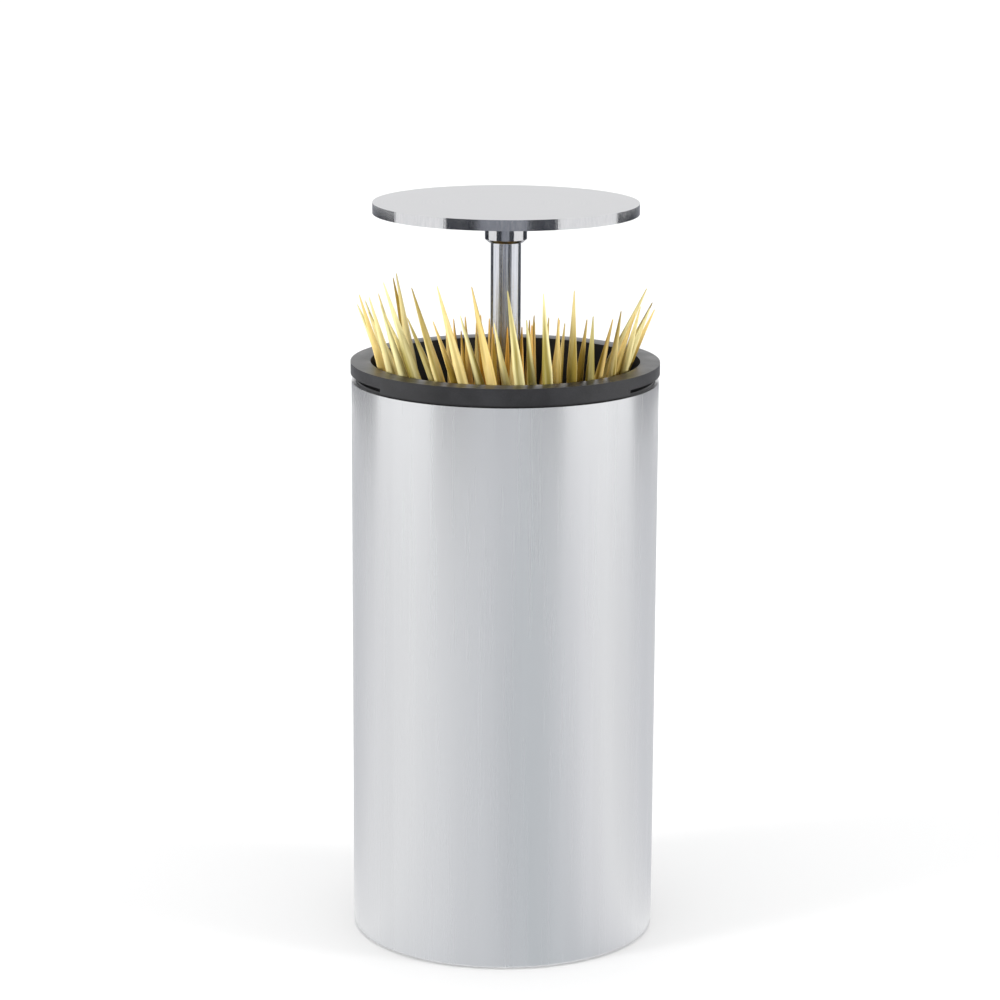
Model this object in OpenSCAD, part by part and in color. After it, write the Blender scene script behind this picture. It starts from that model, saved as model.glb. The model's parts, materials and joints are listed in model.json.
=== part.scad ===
// Toothpick dispenser with a lifting knob: a metal sleeve around a plastic cup, in which a stepped
// lifter carries the picks on a central rod. It is drawn with the knob up and the picks fanned out.
// Millimetres, +Z up, origin on the table under the middle of the base. The front faces -Y.

/* [Sleeve and base] */
// Outside diameter of the metal sleeve
body_d = 60; // [58:0.5:64]
// Height of the sleeve's top edge above the table
sleeve_h = 110.85; // [106:0.05:120]
// Wall of the drawn sleeve
sleeve_t = 0.8; // [0.5:0.1:1]
// Rounding of the sleeve's lower outer edge
base_round = 1.4; // [0.8:0.1:2]
// How far the rubber pad's edge lies inside the sleeve's side
pad_inset = 4.8; // [4.6:0.1:10]
// Thickness of the rubber pad
pad_t = 1.3; // [1:0.1:2]
// How far the pad stands out below the sleeve
pad_proud = 0.4; // [0.2:0.1:0.8]

/* [Rim] */
// How far the black rim ring stands out past the sleeve
rim_over = 0.18; // [0.1:0.02:3]
// Thickness of the rim ring's flange
rim_h = 3.4; // [2.5:0.1:5]
// Dark gap between the sleeve's edge and the flange
rim_gap = 0.45; // [0.2:0.05:1]
// Rounding under the flange's outer edge
rim_undercut = 0.8; // [0.4:0.1:1.2]
// Rounding on the flange's upper outer edge
rim_round = 0.5; // [0.2:0.1:0.8]
// Wall of the rim ring's neck, which lines the cup and stops the lifter
neck_t = 1.05; // [0.8:0.05:1.4]

/* [Inner cup] */
// Wall of the plastic inner cup
cup_t = 1.7; // [1.2:0.1:2]
// Floor of the plastic inner cup
cup_floor_t = 2; // [1.5:0.1:3]

/* [Knob and rod] */
// Gap around the knob when it is down in the mouth
knob_gap = 0.45; // [0.3:0.05:0.8]
// Thickness of the knob
knob_t = 2.06; // [1.5:0.02:3]
// Travel from closed to open
travel = 30.9; // [24:0.1:34]
// Wall of the collar around the rod's top end
collar_t = 1.15; // [1:0.05:3]
// Height of the collar
collar_h = 5.65; // [4.5:0.05:8]
// Diameter of the rod
rod_d = 5.9; // [5.5:0.1:6.3]

/* [Lifter] */
// How far a pick in the centre well stands above the rim
well_show = 6.8; // [4:0.1:10]
// Width of the well around the rod
well_w = 4.75; // [4.6:0.05:5]
// Height of the first step above the well
step1_h = 9; // [7:0.5:10]
// Width of the first step
step1_w = 3.6; // [3.4:0.1:4]
// Height of the second step above the first
step2_h = 4; // [3:0.5:5]
// Wall of the lifter
lifter_t = 1.4; // [1.1:0.1:1.8]
// Height of the lifter's skirt, from the second step down
skirt_h = 21.5; // [17:0.5:22]
// Number of ribs under the lifter
lifter_ribs = 6; // [4:1:8]

/* [Toothpicks] */
// Length of a toothpick
pick_l = 65; // [60:0.5:66]
// Diameter of a toothpick
pick_d = 2; // [1.6:0.1:2]
// Length of each tapered end
taper_l = 20; // [16:1:24]
// Spokes in a full circle of the fan
spokes_round = 28; // [20:1:28]
// Spokes that are filled to the left of the front
spokes_left = 9; // [4:1:9]
// Spokes that are filled to the right of the front
spokes_right = 8; // [4:1:8]
// Picks in the outer ring of the well
well_picks_out = 20; // [8:1:20]
// Picks in the inner ring of the well, next to the rod
well_picks_in = 12; // [6:1:12]

/* [Hidden] */
$fn = 96;
cut = 1; // how far a cut runs past the face it opens
sink = 0.5; // how far a rib runs into the wall it stands on

// clearances between pieces
fit_gap = 0.05; // pieces pushed together
slide_gap = 0.05; // friction ring in the cup
skirt_gap = 0.35; // lifter's skirt in the cup
stop_gap = 0.1; // between stops that meet flat
nest_gap = 0.1; // cup in the sleeve
seat_gap = 0.25; // pick's foot above its step
screw_gap = 0.15; // screw in the lifter and the washer
pad_gap = 0.4; // pad in the sleeve's recess

// sleeve and base
sleeve_r = body_d / 2;
bore_r = sleeve_r - sleeve_t;
pad_r = sleeve_r - pad_inset;
recess_r = pad_r + pad_gap;
base_top = pad_t + sleeve_t; // top of the stamped floor
edge_round = 0.35; // sleeve's top edge, half of its wall or less

// inner cup
cup_r = bore_r - nest_gap;
cup_in = cup_r - cup_t;
cup_floor_z = base_top + cup_floor_t;

// rim ring
rim_z = sleeve_h + rim_gap;
rim_top = rim_z + rim_h;
rim_r = sleeve_r + rim_over;
neck_r = cup_in - fit_gap;
mouth_r = neck_r - neck_t;
mouth_round = 0.4;

// knob, collar and rod
knob_r = mouth_r - knob_gap;
knob_bevel = 0.2;
knob_z = rim_top + travel - knob_t; // closed, its top is level with the rim
rod_r = rod_d / 2;
rod_bevel = 0.3;
collar_r = rod_r + collar_t;
collar_z = knob_z - collar_h;
collar_bevel = 0.6;
rod_seat = 3; // rod's top end inside the collar
rod_top = collar_z + rod_seat;
stud_r = 1.95;
stud_grip = 1; // stud's top end inside the knob
stud_depth = 8; // stud's thread inside the rod
stud_z = rod_top - stud_depth;

// lifter, from its well outwards
well_z = rim_top + well_show - pick_l;
well_r = rod_r + well_w;
step1_z = well_z + step1_h;
step2_r = well_r + step1_w;
step2_z = step1_z + step2_h;
skirt_r = cup_in - skirt_gap;
skirt_in = skirt_r - lifter_t;
skirt_z = step2_z - skirt_h;
neck_z = step2_z + stop_gap; // the neck ends above the open lifter as its stop
hub_r = rod_r + 3.55;
hub_h = 10; // hub's height under the well's floor
hub_z = well_z - hub_h;
hub_end_t = 2;
rod_z = hub_z + hub_end_t;
rib_t = 1.2;
rib_rise = 1; // ribs start this far above the hub's end
rib_inset = 2; // ribs stop short of the skirt's edge

// screw that holds the lifter on the rod
screw_r = 1.45;
screw_grip = 7; // thread inside the rod
head_r = 2.8;
head_h = 1.8;
washer_r = head_r + 0.6;
washer_t = 0.6;
head_z = hub_z - washer_t - head_h;
socket_r = 1.3;
socket_depth = 1;

// friction ring in a groove of the skirt
groove_up = 3.5; // above the skirt's edge
groove_h = 2.4;
groove_depth = 0.7;
groove_z = skirt_z + groove_up;
groove_r = skirt_r - groove_depth;
ring_h = 2.2;
ring_z = groove_z + (groove_h - ring_h) / 2;
ring_r = cup_in - slide_gap;
ring_in = groove_r + fit_gap;
ring_round = 0.5;

// stop post on the cup's floor, wide enough inside for the screw's head
post_in = washer_r + 0.8;
post_r = post_in + 2;
post_top = hub_z - travel - stop_gap;
post_ribs = 4;
post_rib_run = 10.8;
post_rib_t = 1.4;
post_rib_edge = 1; // height of a rib's outer end
post_rib_drop = 1.5; // ribs end this far below the post's top

// toothpicks
pick_r = pick_d / 2;
pick_facets = 24;
point_r = 0.2;
shoulder_l = 8; // from the point to the change of taper
shoulder_r = 0.62 * pick_r;
lean_gap = 0.9; // between a leaning pick and the mouth
lean_r = mouth_r - pick_r - lean_gap;
row_gap = 1.9; // front picks of the first step lean this far inside the others
blend_from = 38; // angles between which that lean grows to the others'
blend_to = 90;
foot_in_r = well_r + 1.7; // feet on the first step
foot_in_turn = 72; // their feet lag behind the place where they cross the rim
foot_out_r = step2_r + 1.9; // feet on the second step
foot_out_turn = 34;
filled_left = 64; // angles that the second step's picks fill, each side of the front
filled_right = 32;
scatter = 0.8; // unevenness of the second step's picks at the rim
scatter_turn = 211;
well_out_r = well_r - 2.4; // feet of the well's outer ring
well_out_lean = 5.6;
well_out_start = 7; // angle of the ring's first pick
well_in_r = rod_r + 1.05; // feet of the well's inner ring
well_in_lean = 1.5;
well_in_start = 4;
spoke_step = 360 / spokes_round;

last_spoke = spokes_left + spokes_right;
spoke_names = [for (i = [0 : last_spoke]) str("pick_spoke_", i < 9 ? "0" : "", i + 1)];

aluminium = [0.80, 0.81, 0.82];
steel = [0.72, 0.73, 0.76];
black = [0.10, 0.10, 0.11];
rubber = [0.16, 0.16, 0.17];
wood = [0.90, 0.82, 0.58];

// what a square corner loses when it is rounded, with the corner at the origin
module corner_cut(r) {
    difference() {
        translate([-cut, -cut]) square(r + cut);
        translate([r, r]) circle(r);
    }
}

module ring(r_out, r_in, z0, z1) {
    translate([0, 0, z0]) difference() {
        cylinder(r = r_out, h = z1 - z0);
        translate([0, 0, -cut]) cylinder(r = r_in, h = z1 - z0 + 2 * cut);
    }
}

module foot_pad() {
    color(rubber) rotate_extrude() polygon([
        [0, 0], [pad_r - pad_proud, 0], [pad_r, pad_proud], [pad_r, pad_t], [0, pad_t]]);
}

// a deep-drawn cup whose floor is stamped up to take the pad
module outer_sleeve() {
    color(aluminium) rotate_extrude() difference() {
        polygon([
            [0, pad_t], [recess_r, pad_t], [recess_r, pad_proud],
            [sleeve_r, pad_proud], [sleeve_r, sleeve_h], [bore_r, sleeve_h],
            [bore_r, pad_proud + sleeve_t], [recess_r + sleeve_t, pad_proud + sleeve_t],
            [recess_r + sleeve_t, base_top], [0, base_top]]);
        translate([sleeve_r, pad_proud]) mirror([1, 0]) corner_cut(base_round);
        translate([sleeve_r, sleeve_h]) mirror([1, 0]) mirror([0, 1]) corner_cut(edge_round);
    }
}

module post_rib() {
    rib_r = post_r + post_rib_run;
    translate([0, post_rib_t / 2, 0]) rotate([90, 0, 0]) linear_extrude(post_rib_t) polygon([
        [post_r - sink, cup_floor_z - sink], [rib_r, cup_floor_z - sink],
        [rib_r, cup_floor_z + post_rib_edge], [post_r - sink, post_top - post_rib_drop]]);
}

// plain cup, with the post on which the lifter's hub lands when the knob is down
module inner_cup() {
    color(black) union() {
        rotate_extrude() difference() {
            polygon([
                [0, base_top], [cup_r, base_top], [cup_r, rim_z], [cup_in, rim_z],
                [cup_in, cup_floor_z], [0, cup_floor_z]]);
            translate([cup_r, base_top]) mirror([1, 0]) corner_cut(base_round);
        }
        ring(post_r, post_in, cup_floor_z - sink, post_top);
        for (i = [0 : post_ribs - 1]) rotate(i * 360 / post_ribs) post_rib();
    }
}

// flange over the edges of cup and sleeve, with a neck that lines the cup
module rim_ring() {
    color(black) rotate_extrude() difference() {
        polygon([
            [mouth_r, neck_z], [neck_r, neck_z], [neck_r, rim_z],
            [rim_r, rim_z], [rim_r, rim_top], [mouth_r, rim_top]]);
        translate([rim_r, rim_z]) mirror([1, 0]) corner_cut(rim_undercut);
        translate([rim_r, rim_top]) mirror([1, 0]) mirror([0, 1]) corner_cut(rim_round);
        translate([mouth_r, rim_top]) mirror([0, 1]) corner_cut(mouth_round);
    }
}

module knob_disc() {
    color(aluminium) difference() {
        translate([0, 0, knob_z]) rotate_extrude() polygon([
            [0, 0], [knob_r - knob_bevel, 0], [knob_r, knob_bevel],
            [knob_r, knob_t - knob_bevel], [knob_r - knob_bevel, knob_t], [0, knob_t]]);
        translate([0, 0, knob_z - cut]) cylinder(r = stud_r + fit_gap, h = cut + stud_grip + fit_gap);
    }
}

module knob_stud() {
    color(steel) translate([0, 0, stud_z]) cylinder(r = stud_r, h = knob_z + stud_grip - stud_z);
}

module collar() {
    color(aluminium) difference() {
        translate([0, 0, collar_z]) rotate_extrude() polygon([
            [0, 0], [collar_r - collar_bevel, 0], [collar_r, collar_bevel],
            [collar_r, collar_h], [0, collar_h]]);
        translate([0, 0, collar_z - cut]) cylinder(r = rod_r + fit_gap, h = cut + rod_seat);
        translate([0, 0, collar_z]) cylinder(r = stud_r + fit_gap, h = collar_h + cut);
    }
}

module rod() {
    rod_l = rod_top - rod_z;
    color(steel) difference() {
        translate([0, 0, rod_z]) rotate_extrude() polygon([
            [0, 0], [rod_r - rod_bevel, 0], [rod_r, rod_bevel],
            [rod_r, rod_l - rod_bevel], [rod_r - rod_bevel, rod_l], [0, rod_l]]);
        translate([0, 0, rod_z - cut]) cylinder(r = screw_r + fit_gap, h = cut + screw_grip + cut);
        translate([0, 0, stud_z - cut]) cylinder(r = stud_r + fit_gap, h = cut + stud_depth + cut);
    }
}

module lifter_rib() {
    translate([0, rib_t / 2, 0]) rotate([90, 0, 0]) linear_extrude(rib_t) polygon([
        [hub_r - sink, hub_z + rib_rise], [skirt_in + sink, skirt_z + rib_inset],
        [skirt_in + sink, step2_z - sink], [step2_r + sink, step2_z - sink],
        [step2_r + sink, step1_z - sink], [well_r + sink, step1_z - sink],
        [well_r + sink, well_z - sink], [hub_r - sink, well_z - sink]]);
}

// a moulded piston: a well around the rod and two steps, on which the picks' feet stand in tiers
module lifter() {
    color(black) difference() {
        union() {
            rotate_extrude() polygon([
                [0, well_z], [well_r, well_z], [well_r, step1_z], [step2_r, step1_z],
                [step2_r, step2_z], [skirt_r, step2_z], [skirt_r, skirt_z], [skirt_in, skirt_z],
                [skirt_in, step2_z - lifter_t],
                [step2_r + lifter_t, step2_z - lifter_t], [step2_r + lifter_t, step1_z - lifter_t],
                [well_r + lifter_t, step1_z - lifter_t], [well_r + lifter_t, well_z - lifter_t],
                [hub_r, well_z - lifter_t], [hub_r, hub_z], [0, hub_z]]);
            for (i = [0 : lifter_ribs - 1]) rotate(i * 360 / lifter_ribs) lifter_rib();
        }
        translate([0, 0, rod_z]) cylinder(r = rod_r + fit_gap, h = well_z - rod_z + cut);
        translate([0, 0, hub_z - cut]) cylinder(r = screw_r + screw_gap, h = hub_end_t + 2 * cut);
        ring(skirt_r + cut, groove_r, groove_z, groove_z + groove_h);
    }
}

module friction_ring() {
    color(rubber) rotate_extrude() difference() {
        translate([ring_in, ring_z]) square([ring_r - ring_in, ring_h]);
        translate([ring_r, ring_z]) mirror([1, 0]) corner_cut(ring_round);
        translate([ring_r, ring_z + ring_h]) mirror([1, 0]) mirror([0, 1]) corner_cut(ring_round);
    }
}

module lifter_washer() {
    color(steel) ring(washer_r, screw_r + screw_gap, hub_z - washer_t, hub_z);
}

module lifter_screw() {
    color(steel) difference() {
        union() {
            translate([0, 0, head_z]) cylinder(r = head_r, h = head_h);
            translate([0, 0, head_z]) cylinder(r = screw_r, h = rod_z + screw_grip - head_z);
        }
        translate([0, 0, head_z - cut]) cylinder(r = socket_r, h = cut + socket_depth, $fn = 6);
    }
}

// a point at radius r and height z, at an angle from the front towards the right
function around(r, a, z) = [r * sin(a), -r * cos(a), z];

// an even-looking spread of numbers from 0 to 1
function uneven(i) = (1 + sin(i * scatter_turn)) / 2;

// the share of the way from the front picks' lean to the side picks' lean
function side_share(a) = min(1, max(0, (abs(a) - blend_from) / (blend_to - blend_from)));

module toothpick() {
    rotate_extrude($fn = pick_facets) polygon([
        [0, 0], [point_r, 0], [shoulder_r, shoulder_l], [pick_r, taper_l],
        [pick_r, pick_l - taper_l], [shoulder_r, pick_l - shoulder_l], [point_r, pick_l], [0, pick_l]]);
}

// a toothpick with its foot at one point, leaning towards another
module leaning_pick(foot, to) {
    d = to - foot;
    translate(foot)
        rotate([0, acos(d.z / norm(d)), atan2(d.y, d.x)])
            translate([0, 0, seat_gap]) toothpick();
}

// the picks of one spoke: one on the first step and, near the front, one on the second
module pick_spoke(i) {
    a = i * spoke_step;
    b = a + spoke_step / 2;
    top_r = lean_r - row_gap * (1 - side_share(a));
    color(wood) {
        leaning_pick(around(foot_in_r, a + foot_in_turn, step1_z), around(top_r, a, rim_top));
        if (a > -filled_left && a < filled_right)
            leaning_pick(around(foot_out_r, b + foot_out_turn, step2_z),
                around(lean_r - scatter * uneven(i), b, rim_top));
    }
}

// a ring of picks whose feet stand on the well's floor and whose tips lean outwards
module well_ring(count, foot_r, lean, start) {
    for (i = [0 : count - 1]) {
        a = start + i * 360 / count;
        foot = around(foot_r, a, well_z);
        leaning_pick(foot, foot + around(sin(lean), a, cos(lean)));
    }
}

module well_picks_group() {
    color(wood) {
        well_ring(well_picks_out, well_out_r, well_out_lean, well_out_start);
        well_ring(well_picks_in, well_in_r, well_in_lean, well_in_start);
    }
}

foot_pad();
outer_sleeve();
inner_cup();
rim_ring();
knob_disc();
knob_stud();
collar();
rod();
lifter();
friction_ring();
lifter_washer();
lifter_screw();
well_picks_group();
for (i = [0 : last_spoke])
    pick_spoke(i - spokes_left);
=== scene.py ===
# Toothpick dispenser with its knob raised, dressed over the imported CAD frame.
import json
import math
import random

import bmesh
import bpy
import numpy as np
from mathutils import Matrix, Vector


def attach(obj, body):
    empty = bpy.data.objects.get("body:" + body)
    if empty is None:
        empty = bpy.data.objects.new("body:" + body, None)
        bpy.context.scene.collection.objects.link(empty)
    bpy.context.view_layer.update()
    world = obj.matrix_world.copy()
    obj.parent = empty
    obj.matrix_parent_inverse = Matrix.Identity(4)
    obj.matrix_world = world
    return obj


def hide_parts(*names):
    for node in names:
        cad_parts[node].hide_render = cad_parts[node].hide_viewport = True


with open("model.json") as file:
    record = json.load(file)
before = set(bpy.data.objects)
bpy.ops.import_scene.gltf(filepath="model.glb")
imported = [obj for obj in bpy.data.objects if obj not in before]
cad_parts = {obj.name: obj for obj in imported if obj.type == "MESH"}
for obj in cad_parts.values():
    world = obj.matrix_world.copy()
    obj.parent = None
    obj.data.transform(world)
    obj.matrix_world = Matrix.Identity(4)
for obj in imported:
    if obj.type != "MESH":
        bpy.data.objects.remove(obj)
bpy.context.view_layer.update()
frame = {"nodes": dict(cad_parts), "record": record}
nodes = frame["nodes"]
bpy.ops.object.select_all(action="DESELECT")  # the frame comes in selected
mm = 0.001  # sizes are in mm, places in the scene in metres
print("frame loaded:", len(nodes), "nodes")


def linear(hexColour):
    shares = [int(hexColour[i : i + 2], 16) / 255 for i in (1, 3, 5)]
    return [s / 12.92 if s <= 0.04045 else ((s + 0.055) / 1.055) ** 2.4 for s in shares] + [1]


def addNode(tree, kind, values):
    # values holds settings, numbers and hex colours for sockets, and the sockets or nodes to link from
    node = tree.nodes.new("ShaderNode" + kind)
    for key, value in values.items():
        if isinstance(value, bpy.types.Node):
            value = value.outputs[0]
        if key == "stops":
            stops = node.color_ramp.elements
            stops.remove(stops[1])
            stops[0].position, stops[0].color = value[0][0], linear(value[0][1])
            for place, colour in value[1:]:
                stops.new(place).color = linear(colour)
        elif isinstance(key, str) and hasattr(node, key):
            setattr(node, key, value)
        elif isinstance(value, bpy.types.NodeSocket):
            tree.links.new(value, node.inputs[key])
        elif isinstance(value, str):
            node.inputs[key].default_value = linear(value)
        else:
            node.inputs[key].default_value = value
    return node


def newMaterial(name):
    material = bpy.data.materials.new(name)
    material.use_nodes = True
    material.node_tree.nodes.clear()
    return material, material.node_tree


def stretch(mark):
    # scale of a pattern with marks of this width and this height, in mm
    width, height = mark
    return (1 / (width * mm), 1 / (width * mm), 1 / (height * mm))


def between(span):
    return {"To Min": span[0], "To Max": span[1]}


def bumps(relief):
    # strength, and depth in mm
    return {"Strength": relief[0], "Distance": relief[1] * mm}


def turnProfile(name, profile, segments):
    # a circle at the profile's first point, extruded and resized from point to point, as on a lathe
    radius, height = profile[0]
    bpy.ops.mesh.primitive_circle_add(
        vertices=segments, radius=radius * mm, location=(0, 0, height * mm), fill_type="NOTHING"
    )
    piece = bpy.context.object
    piece.name = name
    bpy.ops.object.mode_set(mode="EDIT")
    for newRadius, newHeight in profile[1:]:
        bpy.ops.mesh.extrude_region_move(
            TRANSFORM_OT_translate={"value": (0, 0, (newHeight - height) * mm)}
        )
        ratio = newRadius / radius
        bpy.ops.transform.resize(value=(ratio, ratio, 1), center_override=(0, 0, newHeight * mm))
        radius, height = newRadius, newHeight
    bpy.ops.object.mode_set(mode="OBJECT")
    return piece


def capEnds():
    # a face over the profile's first ring and one over its last
    bpy.ops.object.mode_set(mode="EDIT")
    bpy.ops.mesh.select_all(action="SELECT")
    bpy.ops.mesh.region_to_loop()
    bpy.ops.mesh.edge_face_add()
    bpy.ops.object.mode_set(mode="OBJECT")


def joinRings():
    # joins the points that lie on one another, as where a profile's last ring meets its first
    bpy.ops.object.mode_set(mode="EDIT")
    bpy.ops.mesh.select_all(action="SELECT")
    bpy.ops.mesh.remove_doubles(threshold=1e-6)
    bpy.ops.object.mode_set(mode="OBJECT")


def faceOutwards():
    bpy.ops.object.mode_set(mode="EDIT")
    bpy.ops.mesh.select_all(action="SELECT")
    bpy.ops.mesh.normals_make_consistent(inside=False)
    bpy.ops.object.mode_set(mode="OBJECT")


def softenRings(piece, rings):
    # bevels the edge loops that lie at each radius and height, by a width in mm and in so many steps
    near = 0.02 * mm
    for radius, height, width, steps in rings:
        bpy.ops.object.mode_set(mode="EDIT")
        bpy.ops.mesh.select_mode(type="EDGE")
        bpy.ops.mesh.select_all(action="DESELECT")
        net = bmesh.from_edit_mesh(piece.data)
        for edge in net.edges:
            edge.select = all(
                abs(Vector(v.co[:2]).length - radius * mm) < near and abs(v.co.z - height * mm) < near
                for v in edge.verts
            )
        bmesh.update_edit_mesh(piece.data)
        bpy.ops.mesh.bevel(offset=width * mm, segments=steps, profile=0.5, affect="EDGES")
        bpy.ops.object.mode_set(mode="OBJECT")


def finishPiece(piece, body, material, replaced):
    bpy.ops.object.select_all(action="DESELECT")
    piece.select_set(True)
    bpy.context.view_layer.objects.active = piece
    joinRings()
    faceOutwards()
    bpy.ops.object.transform_apply(location=True, rotation=True, scale=True)
    bpy.ops.object.shade_smooth_by_angle(angle=math.radians(35))
    dressPiece(piece, body, material, replaced)


def dressPiece(piece, body, material, replaced):
    piece.data.materials.clear()
    piece.data.materials.append(material)
    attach(piece, body)
    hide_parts(*replaced)
    piece.select_set(False)
    print("made", piece.name, len(piece.data.polygons), "faces")


noiseSpan = {"From Min": 0.3, "From Max": 0.7}  # a noise hardly ever leaves this span

sleeveFinish = {
    "tones": [(0.5, "#dbdcde"), (0.95, "#dfe0e2")],
    "streak": (0.35, 60),  # width and height in mm: coarser than real brush lines, which wouldn't show
    "wave": (5, 220),
    "streakShare": 0.45,
    "roughness": (0.23, 0.28),
    "relief": (0.02, 0.05),
}


def satinAluminium(finish):
    # satin anodised aluminium, drawn and brushed upright: a soft cool sheen with faint upright streaks
    material, tree = newMaterial("satinAnodisedAluminium")
    place = addNode(tree, "TexCoord", {}).outputs["Object"]
    fine = addNode(tree, "Mapping", {0: place, "Scale": stretch(finish["streak"])})
    streaks = addNode(tree, "TexNoise", {"Vector": fine, "Scale": 1.0, "Detail": 3.0, "Roughness": 0.6})
    wide = addNode(tree, "Mapping", {0: place, "Scale": stretch(finish["wave"])})
    waves = addNode(tree, "TexNoise", {"Vector": wide, "Scale": 1.0, "Detail": 1.0})
    both = addNode(
        tree, "Math", {"operation": "MULTIPLY_ADD", 0: streaks, 1: finish["streakShare"], 2: waves}
    )
    tone = addNode(tree, "ValToRGB", {"Fac": both, "stops": finish["tones"]})
    dull = addNode(tree, "MapRange", {"Value": streaks, **noiseSpan, **between(finish["roughness"])})
    relief = addNode(tree, "Bump", {"Height": streaks, **bumps(finish["relief"])})
    metal = addNode(
        tree, "BsdfPrincipled", {"Base Color": tone, "Metallic": 1.0, "Roughness": dull, "Normal": relief}
    )
    addNode(tree, "OutputMaterial", {"Surface": metal})
    return material


knobFinish = {
    "tones": [(0.3, "#c4c5c8"), (0.65, "#d1d1d3")],
    "ringWidth": 0.22,
    "nick": (0.5, 2.5),  # width and height of the marks on the edge
    "roughness": (0.05, 0.29),  # of the upright edge and of the flat faces
    "markShare": 0.06,  # how much the marks add to it
    "relief": (0.1, 0.1),
}


def turnedAluminium(finish):
    # turned and clear anodised aluminium: fine rings on the flat faces, short upright tool marks on the edge
    material, tree = newMaterial("turnedAnodisedAluminium")
    place = addNode(tree, "TexCoord", {}).outputs["Object"]
    flat = addNode(tree, "VectorMath", {"operation": "MULTIPLY", 0: place, 1: (1, 1, 0)})
    radius = addNode(tree, "VectorMath", {"operation": "LENGTH", 0: flat}).outputs["Value"]
    ringScale = 1 / (finish["ringWidth"] * mm)
    rings = addNode(
        tree, "TexNoise", {"noise_dimensions": "1D", "W": radius, "Scale": ringScale, "Detail": 2.0}
    )
    short = addNode(tree, "Mapping", {0: place, "Scale": stretch(finish["nick"])})
    nicks = addNode(tree, "TexNoise", {"Vector": short, "Scale": 1.0, "Detail": 4.0, "Roughness": 0.7})
    normal = addNode(tree, "NewGeometry", {}).outputs["True Normal"]
    upward = addNode(tree, "SeparateXYZ", {0: normal}).outputs["Z"]
    level = addNode(tree, "Math", {"operation": "ABSOLUTE", 0: upward})  # 1 on a flat face, 0 on the edge
    marks = addNode(tree, "Mix", {"data_type": "FLOAT", 0: level, 2: nicks, 3: rings})
    tone = addNode(tree, "ValToRGB", {"Fac": marks, "stops": finish["tones"]})
    plain = addNode(tree, "MapRange", {"Value": level, **between(finish["roughness"])})
    dull = addNode(tree, "Math", {"operation": "MULTIPLY_ADD", 0: marks, 1: finish["markShare"], 2: plain})
    relief = addNode(tree, "Bump", {"Height": marks, **bumps(finish["relief"])})
    metal = addNode(
        tree, "BsdfPrincipled", {"Base Color": tone, "Metallic": 1.0, "Roughness": dull, "Normal": relief}
    )
    addNode(tree, "OutputMaterial", {"Surface": metal})
    return material


rodFinish = {
    "tones": [(0.32, "#b9bcc4"), (0.6, "#d9dbe0")],
    "scratch": (0.18, 14),  # width and height in mm: coarser than real ones, which wouldn't show
    "roughness": (0.09, 0.2),
    "relief": (0.08, 0.03),
}


def polishedSteel(finish):
    # centreless ground and polished steel rod: sharp upright bands with fine lengthwise scratches
    material, tree = newMaterial("polishedSteel")
    place = addNode(tree, "TexCoord", {}).outputs["Object"]
    drawn = addNode(tree, "Mapping", {0: place, "Scale": stretch(finish["scratch"])})
    scratches = addNode(tree, "TexNoise", {"Vector": drawn, "Scale": 1.0, "Detail": 3.0, "Roughness": 0.65})
    tone = addNode(tree, "ValToRGB", {"Fac": scratches, "stops": finish["tones"]})
    dull = addNode(tree, "MapRange", {"Value": scratches, **noiseSpan, **between(finish["roughness"])})
    relief = addNode(tree, "Bump", {"Height": scratches, **bumps(finish["relief"])})
    metal = addNode(
        tree, "BsdfPrincipled", {"Base Color": tone, "Metallic": 1.0, "Roughness": dull, "Normal": relief}
    )
    addNode(tree, "OutputMaterial", {"Surface": metal})
    return material


screwFinish = {
    "tones": [(0.35, "#8f9196"), (0.65, "#b3b4b8")],
    "patch": 0.6,
    "roughness": (0.28, 0.46),
}


def zincPlatedSteel(finish):
    # zinc plated steel screw, washer and stud: dull grey metal with cloudy patches
    material, tree = newMaterial("zincPlatedSteel")
    place = addNode(tree, "TexCoord", {}).outputs["Object"]
    cloud = addNode(tree, "TexNoise", {"Vector": place, "Scale": 1 / (finish["patch"] * mm), "Detail": 4.0})
    tone = addNode(tree, "ValToRGB", {"Fac": cloud, "stops": finish["tones"]})
    dull = addNode(tree, "MapRange", {"Value": cloud, **between(finish["roughness"])})
    metal = addNode(tree, "BsdfPrincipled", {"Base Color": tone, "Metallic": 1.0, "Roughness": dull})
    addNode(tree, "OutputMaterial", {"Surface": metal})
    return material


rimFinish = {
    "tones": [(0.65, "#18181a"), (0.98, "#252528")],
    "grain": 0.28,  # coarser than the real texture, which wouldn't show
    "cloud": 6,
    "grainShare": 0.6,
    "roughness": (0.29, 0.4),
    "relief": (0.22, 0.08),
    "ior": 1.5,
}
cupFinish = {
    **rimFinish,
    "tones": [(0.65, "#161617"), (0.98, "#202022")],
    "grain": 0.4,
    "cloud": 9,
    "roughness": (0.35, 0.46),
}


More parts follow.
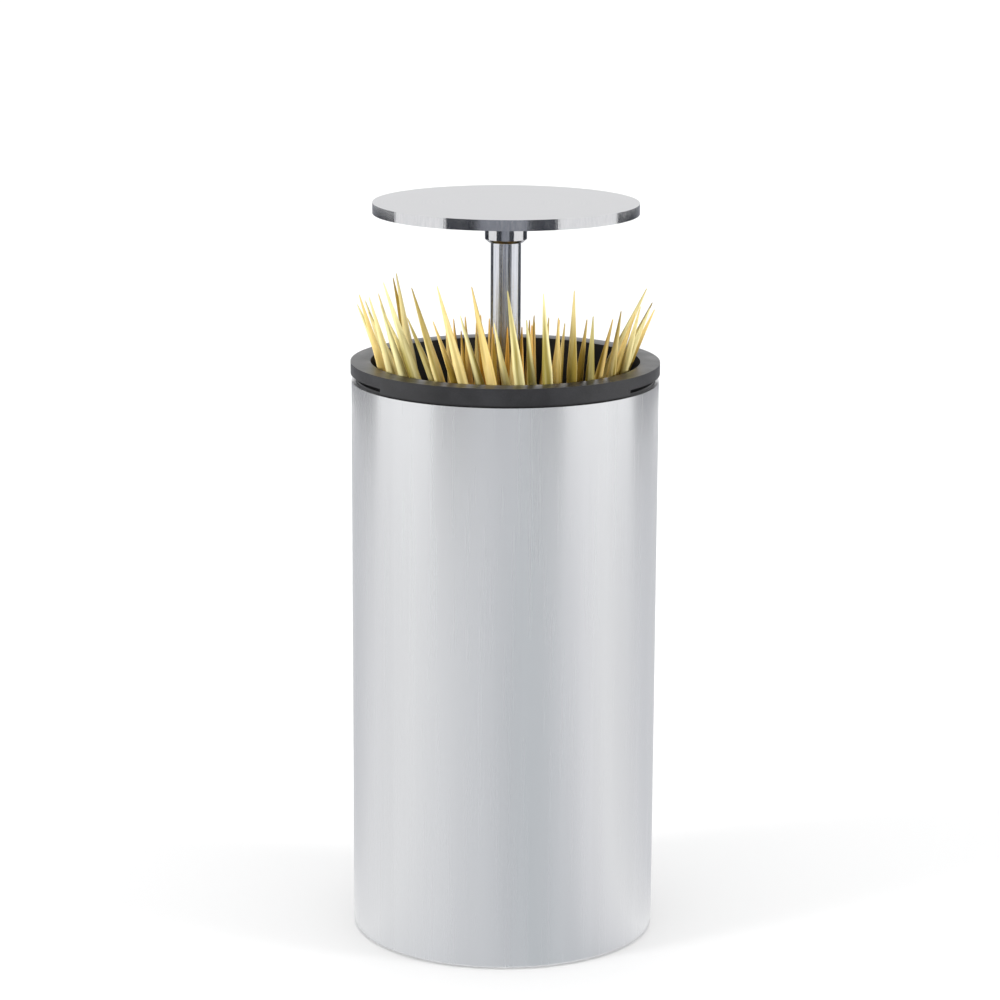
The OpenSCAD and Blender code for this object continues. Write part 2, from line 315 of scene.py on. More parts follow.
def mouldedAbs(name, finish):
    # moulded ABS with a fine spark-eroded texture: matte black that greys where light grazes it
    material, tree = newMaterial(name)
    place = addNode(tree, "TexCoord", {}).outputs["Object"]
    grainScale, cloudScale = 1 / (finish["grain"] * mm), 1 / (finish["cloud"] * mm)
    grain = addNode(
        tree, "TexNoise", {"Vector": place, "Scale": grainScale, "Detail": 3.0, "Roughness": 0.6}
    )
    cloud = addNode(tree, "TexNoise", {"Vector": place, "Scale": cloudScale, "Detail": 2.0})
    blend = addNode(tree, "Math", {"operation": "MULTIPLY_ADD", 0: grain, 1: finish["grainShare"], 2: cloud})
    tone = addNode(tree, "ValToRGB", {"Fac": blend, "stops": finish["tones"]})
    dull = addNode(tree, "MapRange", {"Value": cloud, **noiseSpan, **between(finish["roughness"])})
    relief = addNode(tree, "Bump", {"Height": grain, **bumps(finish["relief"])})
    plastic = addNode(
        tree,
        "BsdfPrincipled",
        {"Base Color": tone, "Roughness": dull, "IOR": finish["ior"], "Normal": relief},
    )
    addNode(tree, "OutputMaterial", {"Surface": plastic})
    return material


rubberFinish = {
    "tones": [(0.35, "#1d1d1d"), (0.7, "#2a2a2a")],
    "grain": 0.5,
    "roughness": (0.64, 0.8),
    "relief": (0.25, 0.1),
    "ior": 1.52,
}


def mouldedRubber(finish):
    # moulded nitrile rubber: dead matte dark grey with a dusty grain
    material, tree = newMaterial("mouldedRubber")
    place = addNode(tree, "TexCoord", {}).outputs["Object"]
    grain = addNode(tree, "TexNoise", {"Vector": place, "Scale": 1 / (finish["grain"] * mm), "Detail": 3.0})
    tone = addNode(tree, "ValToRGB", {"Fac": grain, "stops": finish["tones"]})
    dull = addNode(tree, "MapRange", {"Value": grain, **between(finish["roughness"])})
    relief = addNode(tree, "Bump", {"Height": grain, **bumps(finish["relief"])})
    rubber = addNode(
        tree,
        "BsdfPrincipled",
        {"Base Color": tone, "Roughness": dull, "IOR": finish["ior"], "Normal": relief},
    )
    addNode(tree, "OutputMaterial", {"Surface": rubber})
    return material


woodFinish = {
    # pale straw to orange; the middle picks' painted bounce light pushes them towards the orange end
    "tones": [(0.2, "#f0e6aa"), (0.55, "#efd184"), (1.0, "#ffc158")],
    "fibre": (0.16, 9),  # width and height in mm: coarser than real fibres, which wouldn't show
    "fibreShare": 0.55,
    "paintedShade": "#a39a68",  # painted shade: the tone of the wide dark bands that stand in for each pick's shaded side
    "shadeBand": (1.3, 70),
    "shadeBandSpan": (0.44, 0.64),
    "roughness": (0.3, 0.46),
    "relief": (0.2, 0.06),
    "ior": 1.35,
}


def birchWood(finish):
    # tumbled birch: pale straw, with darker fibres, wide bands of painted shade along each pick, and a satin
    # light; the middle picks are painted warmer, as if lit by light bounced between them
    material, tree = newMaterial("birchWood")
    place = addNode(tree, "Attribute", {"attribute_name": "pickPlace"}).outputs["Vector"]
    # each pick's random tone together with its painted bounce light
    tint = addNode(tree, "Attribute", {"attribute_name": "pickTint"}).outputs["Fac"]
    along = addNode(tree, "Mapping", {0: place, "Scale": stretch(finish["fibre"])})
    fibres = addNode(tree, "TexNoise", {"Vector": along, "Scale": 1.0, "Detail": 3.0, "Roughness": 0.6})
    mixed = addNode(tree, "Math", {"operation": "MULTIPLY_ADD", 0: fibres, 1: finish["fibreShare"], 2: tint})
    tone = addNode(tree, "ValToRGB", {"Fac": mixed, "stops": finish["tones"]})
    # painted shade: wide bands along each pick darken it towards the shade tone, as if one side lay in shadow
    wide = addNode(tree, "Mapping", {0: place, "Scale": stretch(finish["shadeBand"])})
    shadeBands = addNode(tree, "TexNoise", {"Vector": wide, "Scale": 1.0, "Detail": 1.0})
    least, most = finish["shadeBandSpan"]
    depth = addNode(tree, "MapRange", {"Value": shadeBands, "From Min": least, "From Max": most})
    shadedTone = addNode(
        tree, "Mix", {"data_type": "RGBA", "blend_type": "MULTIPLY", 0: depth, 6: tone, 7: finish["paintedShade"]}
    ).outputs[2]
    dull = addNode(tree, "MapRange", {"Value": fibres, **noiseSpan, **between(finish["roughness"])})
    relief = addNode(tree, "Bump", {"Height": fibres, **bumps(finish["relief"])})
    wood = addNode(
        tree,
        "BsdfPrincipled",
        {"Base Color": shadedTone, "Roughness": dull, "IOR": finish["ior"], "Normal": relief},
    )
    addNode(tree, "OutputMaterial", {"Surface": wood})
    return material


aluminium = satinAluminium(sleeveFinish)
turned = turnedAluminium(knobFinish)
polished = polishedSteel(rodFinish)
zinc = zincPlatedSteel(screwFinish)
rimPlastic = mouldedAbs("mouldedAbs", rimFinish)
cupPlastic = mouldedAbs("mouldedAbsDuller", cupFinish)
rubber = mouldedRubber(rubberFinish)
birch = birchWood(woodFinish)
print("materials made")


sleeve = {
    "segments": 256,
    "outside": 30.0,
    "wall": 0.8,
    "foot": 0.4,
    "top": 110.85,
    "rings": (12, 60, 104),  # heights at which the wall is parted
    "recess": 25.6,  # stamped up for the pad
    "recessTop": 1.3,
    "centre": 2,  # the innermost ring, which a face closes
    "footRound": (1.4, 6),  # roundings: width, and steps
    "topRound": (0.35, 5),
    "innerRound": (0.12, 2),
    "recessRound": (0.3, 3),
}


def makeSleeve():
    outside, foot, top, wall = sleeve["outside"], sleeve["foot"], sleeve["top"], sleeve["wall"]
    recess, recessTop, centre = sleeve["recess"], sleeve["recessTop"], sleeve["centre"]
    inside = outside - wall
    profile = [
        (centre, recessTop),
        (recess, recessTop),
        (recess, foot),
        (outside, foot),
        *[(outside, height) for height in sleeve["rings"]],
        (outside, top),
        (inside, top),
        (inside, foot + wall),
        (recess + wall, foot + wall),
        (recess + wall, recessTop + wall),
        (centre, recessTop + wall),
    ]
    piece = turnProfile("sleeve", profile, sleeve["segments"])
    softenRings(piece, [
        (outside, foot, *sleeve["footRound"]),
        (outside, top, *sleeve["topRound"]),
        (recess, foot, *sleeve["recessRound"]),
        (recess, recessTop, *sleeve["recessRound"]),
        (inside, top, *sleeve["innerRound"]),
    ])
    capEnds()
    finishPiece(piece, "base", aluminium, ["outer_sleeve"])


makeSleeve()


rim = {
    "segments": 224,
    "outside": 30.18,
    "neck": 27.35,
    "mouth": 26.3,
    "under": 111.3,
    "top": 114.7,
    "neckEnd": 69.6,
    "neckRings": (90, 108),  # heights at which the neck is parted
    "crown": 0.12,  # the top face is very slightly domed
    "outerShoulder": 1.2,  # how far in from the edge the dome bends
    "innerShoulder": 0.9,
    "underRound": (0.8, 5),  # roundings: width, and steps
    "outerRound": (0.5, 5),
    "mouthRound": (0.4, 5),
    "endRound": (0.3, 3),
}

nailSlot = {  # one under the flange at each side, to lift the ring off
    "height": 1.0,
    "inside": 27.6,
    "outside": 31,  # the cut goes past the flange's edge
    "from": 52,  # bearing in degrees, from the front
    "to": 128,
    "steps": 20,
}


def cutNailSlots(piece):
    inside, height = nailSlot["inside"], nailSlot["height"]
    depth = nailSlot["outside"] - inside
    centre = (0, 0, 0)
    bpy.ops.object.select_all(action="DESELECT")
    bpy.ops.mesh.primitive_plane_add(size=1, location=centre)
    cutter = bpy.context.object
    bpy.ops.object.mode_set(mode="EDIT")
    # the lower half of the cutter hangs in the air below the flange
    bpy.ops.transform.resize(value=(depth * mm, 2 * height * mm, 1), center_override=centre)
    bpy.ops.transform.rotate(value=math.radians(90), orient_axis="X", center_override=centre)
    bpy.ops.transform.translate(value=((inside + depth / 2) * mm, 0, rim["under"] * mm))
    start, sweep = nailSlot["from"] - 90, nailSlot["to"] - nailSlot["from"]
    bpy.ops.transform.rotate(value=math.radians(start), orient_axis="Z", center_override=centre)
    bpy.ops.mesh.spin(steps=nailSlot["steps"], angle=math.radians(sweep), center=centre, axis=(0, 0, 1))
    bpy.ops.mesh.select_all(action="SELECT")
    bpy.ops.mesh.duplicate()
    bpy.ops.transform.rotate(value=math.pi, orient_axis="Z", center_override=centre)
    bpy.ops.object.mode_set(mode="OBJECT")
    faceOutwards()
    cut = piece.modifiers.new("nailSlots", "BOOLEAN")
    cut.operation = "DIFFERENCE"
    cut.object = cutter
    bpy.context.view_layer.objects.active = piece
    bpy.ops.object.modifier_apply(modifier="nailSlots")
    bpy.data.objects.remove(cutter)


def makeRim():
    outside, neck, mouth, under = rim["outside"], rim["neck"], rim["mouth"], rim["under"]
    top, crown, end = rim["top"], rim["crown"], rim["neckEnd"]
    low, high = rim["neckRings"]
    profile = [
        (mouth, end),
        (neck, end),
        (neck, low),
        (neck, under),
        (outside, under),
        (outside, top - crown),
        (outside - rim["outerShoulder"], top - crown / 3),
        ((outside + mouth) / 2, top),
        (mouth + rim["innerShoulder"], top - crown / 4),
        (mouth, top - crown),
        (mouth, high),
        (mouth, low),
        (mouth, end),
    ]
    piece = turnProfile("rimRing", profile, rim["segments"])
    joinRings()
    softenRings(piece, [
        (outside, under, *rim["underRound"]),
        (outside, top - crown, *rim["outerRound"]),
        (mouth, top - crown, *rim["mouthRound"]),
        (mouth, end, *rim["endRound"]),
    ])
    cutNailSlots(piece)
    finishPiece(piece, "base", rimPlastic, ["rim_ring"])


makeRim()


knob = {
    "segments": 224,
    "radius": 25.85,
    "under": 143.54,
    "top": 145.6,
    "socket": 2.0,  # for the stud
    "socketDepth": 1.05,
    "underRings": (8, 24.65),  # radii at which the flat faces are parted
    "topRings": (24.95, 12, 1.5),
    "edgeRound": (0.22, 3),
}


def makeKnob():
    radius, under, top, socket = knob["radius"], knob["under"], knob["top"], knob["socket"]
    profile = [
        (socket, under + knob["socketDepth"]),
        (socket, under),
        *[(ring, under) for ring in knob["underRings"]],
        (radius, under),
        (radius, (under + top) / 2),
        (radius, top),
        *[(ring, top) for ring in knob["topRings"]],
    ]
    piece = turnProfile("knobDisc", profile, knob["segments"])
    softenRings(piece, [(radius, under, *knob["edgeRound"]), (radius, top, *knob["edgeRound"])])
    capEnds()
    finishPiece(piece, "plunger", turned, ["knob_disc"])


makeKnob()


collar = {
    "segments": 96,
    "radius": 4.1,
    "bore": 3.0,
    "foot": 137.89,
    "top": 143.54,
    "ring": 140.49,  # height at which the side is parted
    "bevel": 0.6,
    "groove": 0.15,  # depth of the fine groove under the knob
    "grooveFoot": 0.35,  # below the top
    "grooveFull": 0.2,
    "footRound": (0.1, 3),
    "bevelRound": (0.12, 3),
    "boreRound": (0.06, 2),
}


def makeCollar():
    radius, bore, foot, top = collar["radius"], collar["bore"], collar["foot"], collar["top"]
    bevel, groove = collar["bevel"], collar["groove"]
    profile = [
        (bore, foot),
        (radius - bevel, foot),
        (radius, foot + bevel),
        (radius, collar["ring"]),
        (radius, top - collar["grooveFoot"]),
        (radius - groove, top - collar["grooveFull"]),
        (radius - groove, top),
        (bore, top),
        (bore, foot),
    ]
    piece = turnProfile("knobCollar", profile, collar["segments"])
    joinRings()
    softenRings(piece, [
        (radius - bevel, foot, *collar["footRound"]),
        (radius, foot + bevel, *collar["bevelRound"]),
        (bore, foot, *collar["boreRound"]),
    ])
    finishPiece(piece, "plunger", turned, ["collar"])


rod = {
    "segments": 96,
    "radius": 2.95,
    "foot": 48.5,
    "top": 140.89,
    "rings": (75, 112),  # heights at which the rod is parted
    "screwHole": 1.5,
    "screwDepth": 7.0,
    "studHole": 2.0,
    "studDepth": 8.0,
    "endRound": (0.3, 3),
}


def makeRod():
    radius, foot, top = rod["radius"], rod["foot"], rod["top"]
    profile = [
        (rod["screwHole"], foot + rod["screwDepth"]),
        (rod["screwHole"], foot),
        (radius, foot),
        *[(radius, height) for height in rod["rings"]],
        (radius, top),
        (rod["studHole"], top),
        (rod["studHole"], top - rod["studDepth"]),
    ]
    piece = turnProfile("knobRod", profile, rod["segments"])
    softenRings(piece, [(radius, foot, *rod["endRound"]), (radius, top, *rod["endRound"])])
    capEnds()
    finishPiece(piece, "plunger", polished, ["rod"])


makeCollar()
makeRod()


pick = {
    "sides": 20,
    "length": 65.0,
    "radius": 0.985,
    "point": 0.1,  # radius from which the taper grows
    "tip": 0.04,
    "taper": 16.5,
    "rings": (0, 0.35, 1, 2, 3.5, 5.5, 8, 11, 14, 16.5, 19, 26),  # distances from either tip
    "lump": 4,  # turning is never quite round: the lumps' size, and how far they stand out
    "unevenness": 0.035,
    "endSpan": 1.2,  # the CAD picks' tips are looked for this far from their highest and lowest points
    "tint": (-0.12, 0.3),
    "paintedBounceTint": 0.6,  # painted bounce light: picks in the middle are painted warmer and more orange, up to this radius
    "paintedBounceReach": 24,
    "wedged": (0.4, 4.6),  # picks on the steps are held this far up by their neighbours
    "wedgedAside": (0.1, 1.6),  # and this far at the sides, from this distance on
    "aside": 25,
    "leastLean": 0.1,  # an upright pick counts as leaning this much
    "reach": 29.9,  # the tips stay inside this radius and below this height
    "topmost": 133.0,
    "seed": 7,
}


def pickRadius(along):
    share = min(1, along / pick["taper"], (pick["length"] - along) / pick["taper"])
    return pick["point"] + (pick["radius"] - pick["point"]) * share


def makeOnePick():
    length, tip = pick["length"], pick["tip"]
    heights = [*pick["rings"], length / 2, *[length - ring for ring in reversed(pick["rings"])]]
    middle = [(pickRadius(height), height) for height in heights[1:-1]]
    piece = turnProfile("pickPattern", [(tip, 0), *middle, (tip, length)], pick["sides"])
    capEnds()
    bpy.ops.object.transform_apply(location=True, rotation=True, scale=True)
    lumps = bpy.data.textures.new("pickLumps", "CLOUDS")
    lumps.noise_scale = pick["lump"] * mm
    displace = piece.modifiers.new("lumps", "DISPLACE")
    displace.texture = lumps
    displace.texture_coords = "LOCAL"
    displace.strength = pick["unevenness"] * mm * 2
    displace.mid_level = 0.5
    bpy.ops.object.modifier_apply(modifier="lumps")
    faceOutwards()
    bpy.ops.object.shade_smooth_by_angle(angle=math.radians(60))
    piece.select_set(False)
    return piece


def pickAxes(node):
    # foot and tip of each pick in a CAD node, from a merged copy of its mesh
    net = bmesh.new()
    net.from_mesh(node.data)
    bmesh.ops.remove_doubles(net, verts=net.verts, dist=1e-6)
    left = set(net.verts)
    axes = []
    while left:
        island, border = set(), [left.pop()]
        while border:
            vert = border.pop()
            island.add(vert)
            near = {e.other_vert(vert) for e in vert.link_edges} & left
            left -= near
            border += near
        low = min(island, key=lambda v: v.co.z).co
        high = max(island, key=lambda v: v.co.z).co
        ends = [[v.co for v in island if (v.co - end).length < pick["endSpan"] * mm] for end in (low, high)]
        foot, tip = (sum(group, Vector()) / len(group) for group in ends)
        axes.append((foot.copy(), tip.copy()))
    net.free()
    return sorted(axes, key=lambda axis: (round(axis[0].x, 5), round(axis[0].y, 5)))


loose = {
    "seed": 5,
    "tries": 60000,  # on each tier, of which few fit
    "bearings": (-124, 111),  # in degrees from the front
    "tiers": [
        # height and radius of the feet, radius at the rim, twist in degrees, and the next step's top and wall
        {"foot": 69.75, "feet": (11.8, 18), "rim": (21, 25.2), "twist": (20, 110), "riser": None},
        {"foot": 65.75, "feet": (8.7, 10.2), "rim": (13, 25.2), "twist": (-20, 110), "riser": (69.5, 11.25)},
    ],
    "atRest": -0.02,  # least gap to a neighbour: picks in a bunch touch
    "goingDown": 0.02,
    "footDips": 0.12,  # most that a foot goes down towards its step as the pick stands up
    "mouth": 26.2,  # radius that the picks keep within, up to a height just over the rim
    "mouthTop": 116,
    "rod": 3.05,  # radius that they keep outside of
    "swelling": 1.1,  # lumps make a pick thicker by up to this factor
    "highest": 128.2,  # of the tips at rest
    "levels": (57, 131, 38),  # heights between which gaps are measured, and at how many
    "slides": (0, 8, 16, 24, 30.9),  # how far down the knob is when they are measured
}

fan = {"perTurn": 28, "left": 9}  # the CAD's spokes: their spacing, and how many stand left of the front one


def readHinges():
    record = frame["record"]["behaviour"]
    leans = sorted((j for j in record["joints"] if j["name"].startswith("lean_")), key=lambda j: j["name"])
    ratios = {c["joint"]: c["ratio"] for c in record["couplings"]}
    return {  # the last row is the lifter, which doesn't lean
        "centre": np.array([j["pos_m"] for j in leans] + [(0, 0, 0)]) / mm,
        "axis": np.array([j["axis"] for j in leans] + [(0, 0, 1)]),
        "perMm": np.array([-ratios[j["name"]] * mm for j in leans] + [0]),
    }


hinges = readHinges()


def polar(radius, bearing):
    return np.stack([radius * np.sin(bearing), -radius * np.cos(bearing)], axis=-1)


def trackPicks(feet, ways):
    # centre and radius of each pick at each level, in mm as the lifter stands when raised
    levels = np.linspace(*loose["levels"])
    along = (levels - feet[:, 2:3]) / ways[:, 2:3]
    centres = feet[:, None, :2] + along[..., None] * ways[:, None, :2]
    ends = np.minimum(along, pick["length"] - along)
    radii = np.interp(ends, [0, pick["taper"]], [pick["point"], pick["radius"]])
    centres[ends < 0] = np.nan
    return levels, centres, radii


def leastGaps(some, others):
    # least gap between each pick of some and all of the others
    _, centresA, radiiA = trackPicks(*some)
    _, centresB, radiiB = trackPicks(*others)
    least = []
    for centre, radius, way in zip(centresA, radiiA, some[1]):
        apart = centresB - centre
        lean = (others[1][:, None, :2] + way[:2]) / 2
        across = (apart**2).sum(-1) - (apart * lean).sum(-1) ** 2
        gaps = np.sqrt(np.maximum(across, 0)) - radiiB - radius
        least.append(np.nanmin(gaps))
    return np.array(least)


def lowerPicks(feet, ways, spokes, slide):
    # where the picks are, seen from the lifter, once it has slid down so far
    turns = slide * hinges["perMm"][spokes][:, None]
    axis, centre = hinges["axis"][spokes], hinges["centre"][spokes]

    def turn(v):
        cos, sin = np.cos(turns), np.sin(turns)
        return v * cos + np.cross(axis, v) * sin + axis * (axis * v).sum(-1, keepdims=True) * (1 - cos)

    return centre + turn(feet - centre), turn(ways)


def insideCup(feet, ways, slide, tier):
    # clear of the mouth, the rod, the step under the pick's foot and the riser of the next one
    levels, centres, radii = trackPicks(feet, ways)
    reach = np.hypot(centres[..., 0], centres[..., 1])
    outer = np.where(np.isnan(reach), 0, reach + radii * loose["swelling"])
    inner = np.where(np.isnan(reach), np.inf, reach - radii)
    good = (outer[:, levels - slide <= loose["mouthTop"]] <= loose["mouth"]).all(-1)
    good &= (inner >= loose["rod"]).all(-1) & (feet[:, 2] >= tier["foot"] - loose["footDips"])
    if tier["riser"]:
        top, wall = tier["riser"]
        good &= (outer[:, levels <= top] <= wall).all(-1)
    return good


def drawPicks(chance, tier):
    # feet, directions and nearest spokes of picks dropped in at random
    tries = loose["tries"]
    bearing = np.radians(chance.uniform(*loose["bearings"], tries))
    rimPlace = chance.uniform(*tier["rim"], tries)
    footPlace = chance.uniform(*tier["feet"], tries)
    twist = np.radians(chance.uniform(*tier["twist"], tries))
    feet = np.column_stack([polar(footPlace, bearing + twist), np.full(tries, tier["foot"])])
    tops = np.column_stack([polar(rimPlace, bearing), np.full(tries, rim["top"])])
    ways = (tops - feet) / np.linalg.norm(tops - feet, axis=1, keepdims=True)
    spokes = np.rint(bearing / (2 * math.pi / fan["perTurn"])).astype(int) + fan["left"]
    spokes = np.clip(spokes, 0, len(hinges["perMm"]) - 2)
    tips = feet + pick["length"] * ways
    good = (tips[:, 2] <= loose["highest"]) & (np.hypot(tips[:, 0], tips[:, 1]) <= pick["reach"])
    return feet[good], ways[good], spokes[good]


def standClear(some, others, slide):
    gaps = leastGaps(lowerPicks(*some, slide), lowerPicks(*others, slide))
    return gaps >= (loose["goingDown"] if slide else loose["atRest"])


def loosePicks(fixed):
    # more picks dropped in between those of the CAD, each kept if it stands clear of all others,
    # at rest and on the way down with the spoke that it leans with
    chance = np.random.RandomState(loose["seed"])
    added = []
    for tier in loose["tiers"]:
        picks = drawPicks(chance, tier)
        for slide in loose["slides"]:
            good = insideCup(*lowerPicks(*picks, slide), slide, tier)
            picks = [part[good] for part in picks]
        for slide in loose["slides"]:
            good = standClear(picks, fixed, slide)
            picks = [part[good] for part in picks]
        before = len(added)
        for one in zip(*picks):
            alone = [np.array([part]) for part in one]
            rest = [np.array(parts) for parts in zip(*added)]
            if not added or all(standClear(alone, rest, slide)[0] for slide in loose["slides"]):
                added.append(one)
        print("loose picks on", tier["foot"], "-", len(added) - before, "of", len(picks[0]))
    return added


def placePick(pattern, foot, tip, chance):
    copy = pattern.copy()
    copy.data = pattern.data.copy()
    bpy.context.scene.collection.objects.link(copy)
    flip = chance.random() < 0.5  # both ends are pointed
    copy.data.attributes.new("pickPlace", "FLOAT_VECTOR", "POINT")
    copy.data.attributes.new("pickTint", "FLOAT", "POINT")
    places, toneAndBounceShares = copy.data.attributes["pickPlace"], copy.data.attributes["pickTint"]
    shift = Vector([chance.uniform(0, 1) for _ in range(3)])  # each pick has its own grain
    # painted bounce light: the nearer the middle, the warmer the pick, on top of its random tone
    inner = 1 - min(1, Vector(tip[:2]).length / (pick["paintedBounceReach"] * mm))
    tint = chance.uniform(*pick["tint"]) + inner * pick["paintedBounceTint"]
    for vert in copy.data.vertices:
        places.data[vert.index].vector = vert.co + shift
        toneAndBounceShares.data[vert.index].value = tint
    turn = Matrix.Rotation(chance.uniform(0, 2 * math.pi), 4, "Z")
    if flip:
        turn = Matrix.Translation((0, 0, pick["length"] * mm)) @ Matrix.Rotation(math.pi, 4, "X") @ turn
    lean = (tip - foot).to_track_quat("Z", "Y").to_matrix().to_4x4()
    copy.data.transform(Matrix.Translation(foot) @ lean @ turn)
    return copy


def wedgePick(foot, tip, chance):
    way = (tip - foot).normalized()
    room = (pick["reach"] * mm - Vector(tip[:2]).length) / max(Vector(way[:2]).length, pick["leastLean"])
    aside = min(1, abs(tip.x) / (pick["aside"] * mm))
    least, most = (front + (side - front) * aside for front, side in zip(pick["wedged"], pick["wedgedAside"]))
    rise = min(chance.uniform(least, most) * mm, max(room, 0), pick["topmost"] * mm - tip.z)
    return foot + way * rise, tip + way * rise


def makePicks():
    pattern = makeOnePick()
    chance = random.Random(pick["seed"])
    well = "well_picks_group"
    nodeNames = sorted(n for n in nodes if n.startswith("pick_spoke_") or n == well)
    axesOf = {nodeName: pickAxes(nodes[nodeName]) for nodeName in nodeNames}
    fixed = [(*axis, -1 if n == well else int(n[-2:]) - 1) for n in nodeNames for axis in axesOf[n]]
    feet = np.array([foot for foot, tip, spoke in fixed]) / mm
    ways = np.array([(tip - foot).normalized() for foot, tip, spoke in fixed])
    spokes = np.array([spoke for foot, tip, spoke in fixed])
    for foot, way, spoke in loosePicks((feet, ways, spokes)):
        axis = (Vector(foot) * mm, Vector(foot + way * pick["length"]) * mm)
        axesOf[f"pick_spoke_{spoke + 1:02d}"].append(axis)
    for nodeName, axes in axesOf.items():
        number = nodeName[-2:]
        if nodeName != well:
            axes = [wedgePick(foot, tip, chance) for foot, tip in axes]
        copies = [placePick(pattern, foot, tip, chance) for foot, tip in axes]
        bpy.ops.object.select_all(action="DESELECT")
        for copy in copies:
            copy.select_set(True)
        bpy.context.view_layer.objects.active = copies[0]
        if len(copies) > 1:
            bpy.ops.object.join()
        piece = bpy.context.object
        piece.name = "picks_well" if nodeName == well else "picks_" + number
        body = "plunger" if nodeName == well else "spoke_" + number
        dressPiece(piece, body, birch, [nodeName])
    bpy.data.objects.remove(pattern)


makePicks()


keptNodes = {  # CAD nodes that keep their shape
    "foot_pad": rubber,
    "inner_cup": cupPlastic,
    "lifter": cupPlastic,
    "friction_ring": rubber,
    "lifter_washer": zinc,
    "lifter_screw": zinc,
    "knob_stud": zinc,
}
for nodeName, finish in keptNodes.items():
    for materialSlot in nodes[nodeName].material_slots:
        materialSlot.material = finish
print("kept nodes dressed")


studio = {
    "floorTone": "#eeeeee",
    "floorSize": 12,
    "floorDrop": 0.05,  # in mm, clear of the foot
    "floorGloss": (0.06, 0.12),  # share and roughness
    "floorLift": 0.21,  # added for the camera and for reflections only, so that the bare floor reads as white
    "worldLight": 0.26,
    "echo": 0.3,  # share of the cards' and the backdrop's glow that reaches the floor by way of the metal
    "suns": [  # bearing, height and spread in degrees, strength: a soft box low at each side and one overhead
        ("leftSun", -62, 8, 16, 2.7),
        ("rightSun", 72, 8, 16, 2.2),
        ("topSun", 0, 84, 110, 1.9),
    ],
}

# glowing cards, no lamps, whose tones are painted reflections: the light and dark bands seen in the metal
cards = {  # bearings in degrees, radius and height of both edges in mm, and tones from the first bearing on
    "frontCard": {
        "bearings": (-52, 44),
        "edges": [(500, 26), (500, 92)],
        "tones": [
            (0.0, "#3c3f46"), (0.27, "#3c3f46"), (0.33, "#8d9099"), (0.7, "#9b9ea6"), (0.76, "#3c3f46"),
            (1.0, "#4a4d55"),
        ],
    },
    "backCard": {
        "bearings": (108, 252),
        "edges": [(550, 4), (550, 75)],
        "tones": [
            (0.0, "#2c2f36"), (0.2, "#3c3f46"), (0.4, "#9a9ca2"), (0.6, "#9a9ca2"), (0.8, "#3c3f46"),
            (1.0, "#2c2f36"),
        ],
    },
    "floorCard": {  # painted reflection: the upright bands in the sleeve's sheen
        "bearings": (-180, 180),
        "edges": [(30.5, 0.4), (520, 0.4)],
        "tones": [
            (0.0, "#dadbde"), (0.1, "#dadbde"), (0.2, "#f4f4f5"), (0.3, "#fcfcfc"), (0.42, "#ebecee"),
            (0.5, "#d9dbde"), (0.54, "#d2d6d9"), (0.6, "#dcdee1"), (0.66, "#f2f2f4"), (0.71, "#ffffff"),
            (0.76, "#f4f4f5"), (0.84, "#e2e3e6"), (1.0, "#dadbde"),
        ],
    },
}
cardSteps = 72


def seenDirectly(tree):
    # 1 for the camera and what the object mirrors to it, less for what it mirrors to a diffuse surface
    depth = addNode(tree, "LightPath", {}).outputs["Diffuse Depth"]
    return addNode(tree, "MapRange", {"Value": depth, **between((1.0, studio["echo"]))})


def seenOrMirrored(tree):
    # the same, but 0 for light that goes straight to a diffuse surface
    path = addNode(tree, "LightPath", {}).outputs
    seen = addNode(
        tree, "Math", {"operation": "MAXIMUM", 0: path["Is Camera Ray"], 1: path["Is Glossy Ray"]}
    )
    return addNode(tree, "Math", {"operation": "MULTIPLY", 0: seen, 1: seenDirectly(tree)})


def makeFloor():
    bpy.ops.mesh.primitive_plane_add(size=studio["floorSize"], location=(0, 0, -studio["floorDrop"] * mm))
    floor = bpy.context.object
    floor.name = "studioFloor"
    bpy.ops.object.transform_apply(location=True, rotation=True, scale=True)
    material, tree = newMaterial("paperSweep")
    share, roughness = studio["floorGloss"]
    paper = addNode(tree, "BsdfDiffuse", {"Color": studio["floorTone"]})
    gloss = addNode(tree, "BsdfGlossy", {"Color": "#ffffff", "Roughness": roughness})
    sheet = addNode(tree, "MixShader", {0: share, 1: paper, 2: gloss})
    lift = addNode(tree, "Math", {"operation": "MULTIPLY", 0: seenOrMirrored(tree), 1: studio["floorLift"]})
    glow = addNode(tree, "Emission", {"Color": "#ffffff", "Strength": lift})
    total = addNode(tree, "AddShader", {0: sheet, 1: glow})
    addNode(tree, "OutputMaterial", {"Surface": total})
    floor.data.materials.append(material)
    floor.select_set(False)


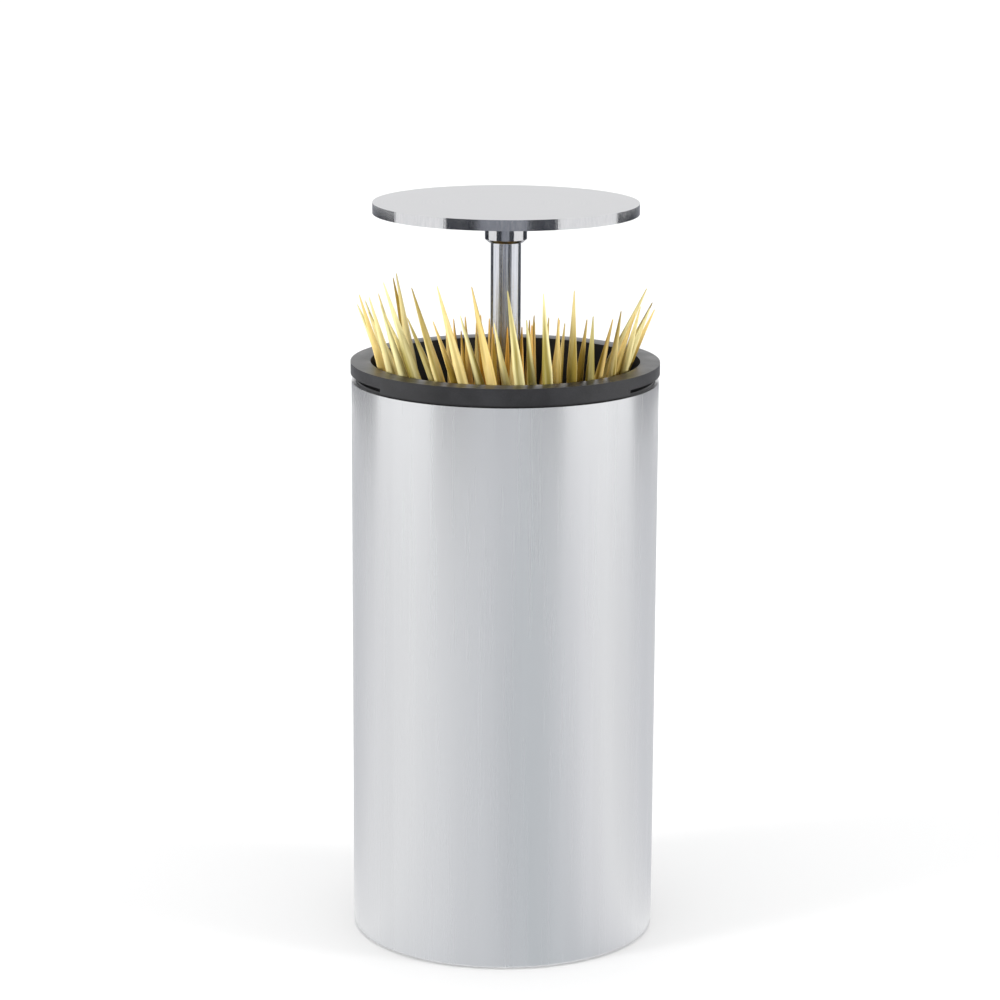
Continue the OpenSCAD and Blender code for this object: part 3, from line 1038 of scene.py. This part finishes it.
def makeCard(name, card):
    # a glowing card, no lamp, that only reflections see, round the object from one bearing to the other,
    # standing or flat: its tones are painted reflections in the metal
    left, right = card["bearings"]
    mesh = bpy.data.meshes.new(name)
    angles = [math.radians(left + (right - left) * i / cardSteps) for i in range(cardSteps + 1)]
    points = [
        (math.sin(a) * radius * mm, -math.cos(a) * radius * mm, height * mm)
        for a in angles
        for radius, height in card["edges"]
    ]
    mesh.from_pydata(points, [], [(2 * i, 2 * i + 1, 2 * i + 3, 2 * i + 2) for i in range(cardSteps)])
    shares = mesh.attributes.new("across", "FLOAT", "POINT")
    for i in range(len(points)):
        shares.data[i].value = (i // 2) / cardSteps
    piece = bpy.data.objects.new(name, mesh)
    bpy.context.scene.collection.objects.link(piece)
    material, tree = newMaterial(name + "ReflectionGlow")
    across = addNode(tree, "Attribute", {"attribute_name": "across"}).outputs["Fac"]
    tone = addNode(tree, "ValToRGB", {"Fac": across, "stops": card["tones"]})
    reflectionGlow = addNode(tree, "Emission", {"Color": tone, "Strength": seenDirectly(tree)})
    addNode(tree, "OutputMaterial", {"Surface": reflectionGlow})
    mesh.materials.append(material)
    piece.visible_camera = False
    piece.visible_diffuse = False
    piece.visible_shadow = False


def makeSun(name, bearing, height, spread, strength):
    light = bpy.data.lights.new(name, "SUN")
    light.energy = strength
    light.angle = math.radians(spread)
    lamp = bpy.data.objects.new(name, light)
    lamp.visible_glossy = False  # the metal mirrors the cards and the white world, not the lamps
    a, e = math.radians(bearing), math.radians(height)
    towards = Vector((math.sin(a) * math.cos(e), -math.cos(a) * math.cos(e), math.sin(e)))
    lamp.rotation_euler = towards.to_track_quat("Z", "Y").to_euler()
    bpy.context.scene.collection.objects.link(lamp)


def makeWorld():
    world = bpy.data.worlds.new("studioWorld")
    world.use_nodes = True
    tree = world.node_tree
    tree.nodes.clear()
    levels = between((studio["worldLight"], 1.0))  # white behind the object and in its reflections
    level = addNode(tree, "MapRange", {"Value": seenOrMirrored(tree), **levels})
    sky = addNode(tree, "Background", {"Color": "#ffffff", "Strength": level})
    addNode(tree, "OutputWorld", {"Surface": sky})
    bpy.context.scene.world = world


makeFloor()
for name, card in cards.items():
    makeCard(name, card)
for sun in studio["suns"]:
    makeSun(*sun)
makeWorld()
print("studio made")


view = {  # fitted to the photograph's outlines
    "place": (0, -0.625348, 0.227961),
    "down": 12.737,  # degrees
    "roll": 0.0051,  # radians
    "lens": 117.145,
    "sensor": 36,
    "shiftX": -0.0046,
}


def makeCamera():
    data = bpy.data.cameras.new("photoCamera")
    data.sensor_width = view["sensor"]
    data.lens = view["lens"]
    data.shift_x = view["shiftX"]
    camera = bpy.data.objects.new("photoCamera", data)
    camera.location = view["place"]
    tilt = Matrix.Rotation(math.radians(90 - view["down"]), 3, "X")
    camera.rotation_euler = (tilt @ Matrix.Rotation(view["roll"], 3, "Z")).to_euler()
    bpy.context.scene.collection.objects.link(camera)
    bpy.context.scene.camera = camera


makeCamera()
bpy.context.scene.view_settings.view_transform = "Standard"

print("scene ready")
